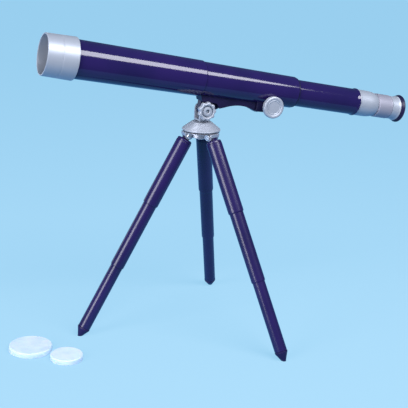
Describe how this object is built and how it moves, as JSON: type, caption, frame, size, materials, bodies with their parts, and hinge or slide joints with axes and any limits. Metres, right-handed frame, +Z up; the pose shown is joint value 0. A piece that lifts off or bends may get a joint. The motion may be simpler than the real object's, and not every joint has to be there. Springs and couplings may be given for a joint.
{
  "type": "telescope on tripod",
  "caption": "Small refracting telescope with a rack focuser and dew shield on a folding telescopic tabletop tripod, its dust caps lying beside it.",
  "frame": {"origin": "centre of the object's base on the table, half way along its overall length and width", "axes": "+X from the objective end towards the eyepiece end, +Y away from the side with the tilt knob, +Z up"},
  "size_m": [0.408, 0.2018, 0.2891],
  "materials": {
    "purple_gloss": "deep purple, polished",
    "purple_satin": "dark purple, satin moulded",
    "silver_satin": "silver metallic lacquer",
    "crown_chrome": "bright plated",
    "bright_steel": "turned, bright",
    "brass": "machined",
    "inner_black": "black, low sheen",
    "lens_glass": "clear, polished",
    "cap_plastic": "milky translucent polyethylene"
  },
  "bodies": {
    "tripod_base": {"tripod_crown": "crown_chrome", "pan_bolt": "bright_steel", "hinge_bolt_left": "bright_steel", "hinge_nut_left": "bright_steel", "hinge_bolt_right": "bright_steel", "hinge_nut_right": "bright_steel", "hinge_bolt_back": "bright_steel", "hinge_nut_back": "bright_steel"},
    "pan_head": {"pan_head": "silver_satin", "tilt_fork": "silver_satin", "friction_washer_near": "inner_black", "friction_washer_far": "inner_black", "tilt_bolt": "bright_steel", "pan_washer": "inner_black"},
    "tilt_knob": {"tilt_knob": "silver_satin"},
    "telescope": {"dew_shield": "silver_satin", "front_tube": "purple_gloss", "middle_tube": "purple_gloss", "objective_lens": "lens_glass", "objective_cell": "inner_black", "lens_retaining_ring": "inner_black", "baffle_ring": "inner_black", "mounting_bracket": "purple_satin", "pinion_housing": "purple_satin", "bracket_screw_front": "bright_steel", "bracket_screw_rear": "bright_steel", "draw_tube_guide": "inner_black"},
    "draw_tube": {"draw_tube": "purple_gloss", "focus_rack": "inner_black", "eyepiece_holder": "silver_satin"},
    "eyepiece": {"eyepiece_barrel": "silver_satin", "field_lens": "lens_glass", "lens_spacer": "inner_black", "eye_lens": "lens_glass", "eyepiece_sleeve": "silver_satin", "eyecup": "purple_satin"},
    "focus_shaft": {"pinion_shaft": "bright_steel", "pinion_gear": "brass", "focus_knob_near": "silver_satin", "focus_knob_far": "silver_satin"},
    "leg_left": {"leg_knuckle_left": "purple_satin", "leg_upper_left": "purple_gloss"},
    "leg_left_middle": {"leg_middle_left": "purple_gloss"},
    "leg_left_lower": {"leg_lower_left": "purple_gloss", "leg_foot_left": "purple_satin"},
    "leg_right": {"leg_knuckle_right": "purple_satin", "leg_upper_right": "purple_gloss"},
    "leg_right_middle": {"leg_middle_right": "purple_gloss"},
    "leg_right_lower": {"leg_lower_right": "purple_gloss", "leg_foot_right": "purple_satin"},
    "leg_back": {"leg_knuckle_back": "purple_satin", "leg_upper_back": "purple_gloss"},
    "leg_back_middle": {"leg_middle_back": "purple_gloss"},
    "leg_back_lower": {"leg_lower_back": "purple_gloss", "leg_foot_back": "purple_satin"},
    "objective_cap": {"objective_cap": "cap_plastic"},
    "eyepiece_cap": {"eyepiece_cap": "cap_plastic"}
  },
  "joints": [
    {"name": "pan", "type": "hinge", "parent": "tripod_base", "child": "pan_head", "pos_m": [-0.01896, 0.00331, 0.1987], "axis": [0, 0, 1], "continuous": true},
    {"name": "tilt", "type": "hinge", "parent": "pan_head", "child": "telescope", "pos_m": [-0.01896, 0.00331, 0.2189], "axis": [0, 1, 0], "range_deg": [-24, 41]},
    {"name": "tilt_clamp", "type": "hinge", "parent": "pan_head", "child": "tilt_knob", "pos_m": [-0.01896, -0.00759, 0.2189], "axis": [0, -1, 0], "range_deg": [0, 360]},
    {"name": "focus", "type": "slide", "parent": "telescope", "child": "draw_tube", "axis": [0.9885, 0, -0.1513], "range_m": [-0.045, 0.012]},
    {"name": "focus_turn", "type": "hinge", "parent": "telescope", "child": "focus_shaft", "pos_m": [0.04706, 0.00331, 0.22195], "axis": [0, 1, 0], "range_deg": [-810, 216]},
    {"name": "eyepiece_pull", "type": "slide", "parent": "draw_tube", "child": "eyepiece", "axis": [0.9885, 0, -0.1513], "range_m": [0, 0.018]},
    {"name": "leg_left_fold", "type": "hinge", "parent": "tripod_base", "child": "leg_left", "pos_m": [-0.03243, 0.00414, 0.1945], "axis": [-0.061, -0.9981, 0], "range_deg": [0, 27]},
    {"name": "leg_left_slide_middle", "type": "slide", "parent": "leg_left", "child": "leg_left_middle", "axis": [0.4578, -0.028, 0.8886], "range_m": [0, 0.048]},
    {"name": "leg_left_slide_lower", "type": "slide", "parent": "leg_left_middle", "child": "leg_left_lower", "axis": [0.4578, -0.028, 0.8886], "range_m": [0, 0.048]},
    {"name": "leg_right_fold", "type": "hinge", "parent": "tripod_base", "child": "leg_right", "pos_m": [-0.01293, -0.00877, 0.1945], "axis": [0.8949, 0.4462, 0], "range_deg": [0, 27]},
    {"name": "leg_right_slide_middle", "type": "slide", "parent": "leg_right", "child": "leg_right_middle", "axis": [-0.2047, 0.4105, 0.8886], "range_m": [0, 0.048]},
    {"name": "leg_right_slide_lower", "type": "slide", "parent": "leg_right_middle", "child": "leg_right_lower", "axis": [-0.2047, 0.4105, 0.8886], "range_m": [0, 0.048]},
    {"name": "leg_back_fold", "type": "hinge", "parent": "tripod_base", "child": "leg_back", "pos_m": [-0.01151, 0.01457, 0.1945], "axis": [-0.8339, 0.5519, 0], "range_deg": [0, 27]},
    {"name": "leg_back_slide_middle", "type": "slide", "parent": "leg_back", "child": "leg_back_middle", "axis": [-0.2532, -0.3825, 0.8886], "range_m": [0, 0.048]},
    {"name": "leg_back_slide_lower", "type": "slide", "parent": "leg_back_middle", "child": "leg_back_lower", "axis": [-0.2532, -0.3825, 0.8886], "range_m": [0, 0.048]},
    {"name": "objective_cap_lift", "type": "slide", "parent": "tripod_base", "child": "objective_cap", "axis": [0, 0, 1], "range_m": [0, 0.03]},
    {"name": "eyepiece_cap_lift", "type": "slide", "parent": "tripod_base", "child": "eyepiece_cap", "axis": [0, 0, 1], "range_m": [0, 0.03]}
  ],
  "couplings": [
    {"joint": "focus_turn", "follows": "focus", "rad_per_m": 312.5}
  ]
}
